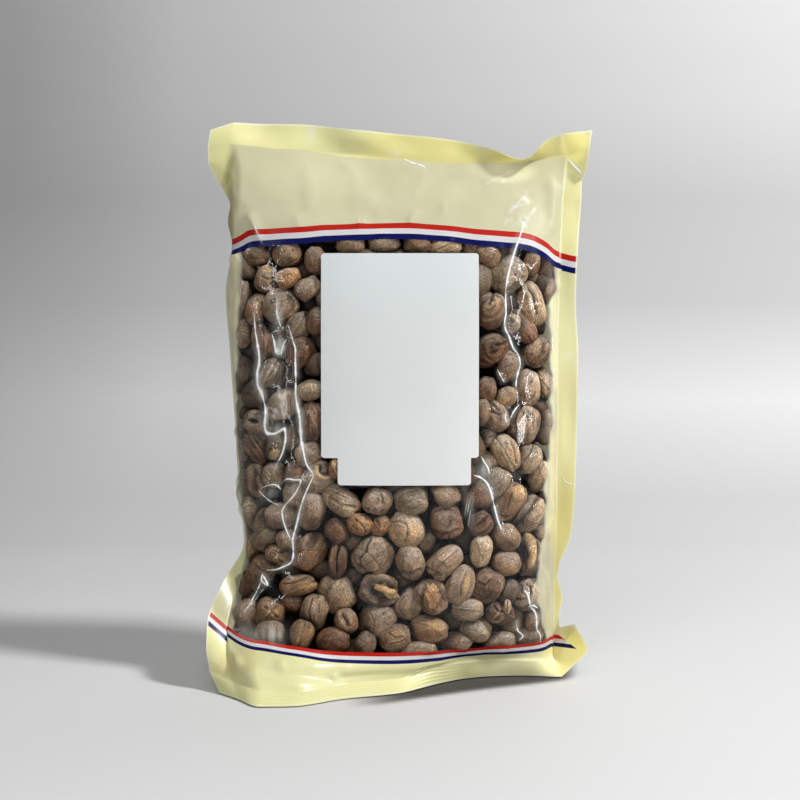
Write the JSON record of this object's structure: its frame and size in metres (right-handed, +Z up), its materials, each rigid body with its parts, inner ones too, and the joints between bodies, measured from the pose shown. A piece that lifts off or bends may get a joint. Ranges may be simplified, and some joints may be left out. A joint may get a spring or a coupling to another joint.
{
  "type": "sealed clear pouch of large brown seeds",
  "caption": "Upright heat-sealed clear film pouch with cream printed margins and a blank paper label, packed full of large brown seeds.",
  "frame": {"origin": "middle of the pouch's box in plan, on the surface that it stands on", "axes": "+Z up along the pouch's height, -Y out of the labelled front, +X to the right as seen from the front"},
  "size_m": [0.202, 0.1, 0.294],
  "materials": {
    "printed_film": "thin glossy packing film, clear window, cream printed header, base band and seals, red, white and blue stripes",
    "back_printed_film": "thin glossy packing film, clear window, cream printed header, base band and seals, red, white and blue stripes",
    "label_paper": "matt self-adhesive label paper, blank",
    "seed_shell": "dry woody seed coat, grey-brown, satin"
  },
  "bodies": {
    "root": {"front_film": "printed_film", "back_film": "back_printed_film", "front_label": "label_paper", "seed_fill": "seed_shell"}
  },
  "joints": []
}
